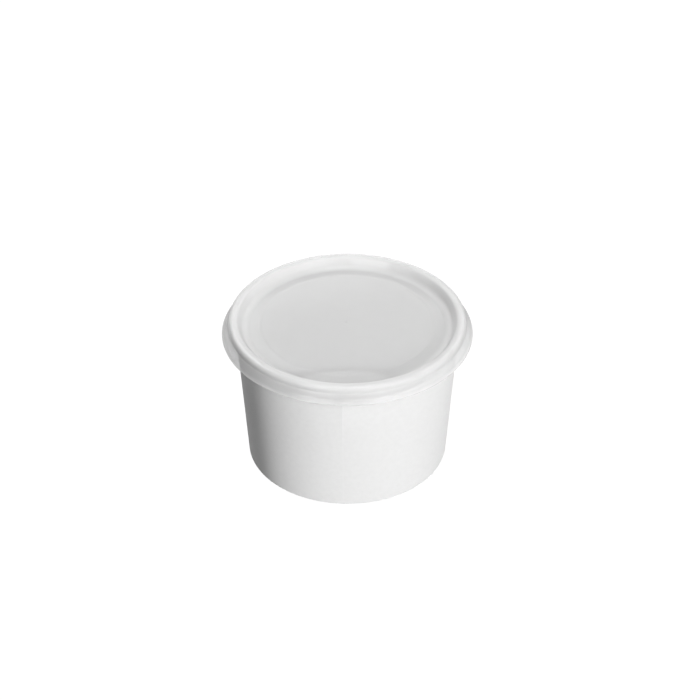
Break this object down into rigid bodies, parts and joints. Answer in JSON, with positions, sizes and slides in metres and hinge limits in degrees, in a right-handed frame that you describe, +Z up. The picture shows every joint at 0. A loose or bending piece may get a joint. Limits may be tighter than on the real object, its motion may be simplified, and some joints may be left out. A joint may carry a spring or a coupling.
{
  "type": "paper salad bowl with lid",
  "caption": "Round white paper food bowl with a rolled rim and a recessed base, closed by a pressed-on translucent plastic lid with a flared skirt.",
  "frame": {"origin": "middle of the base ring, on the surface that the bowl stands on", "axes": "+Z up along the bowl's axis, -Y towards the side nearest the picture's viewer, with the paper's side seam just left of it"},
  "size_m": [0.1224, 0.1224, 0.0765],
  "materials": {
    "bowl_paper": "matte",
    "lid_plastic": "satin"
  },
  "bodies": {
    "root": {"bowl_wall": "bowl_paper", "bowl_floor": "bowl_paper", "lid": "lid_plastic"}
  },
  "joints": []
}
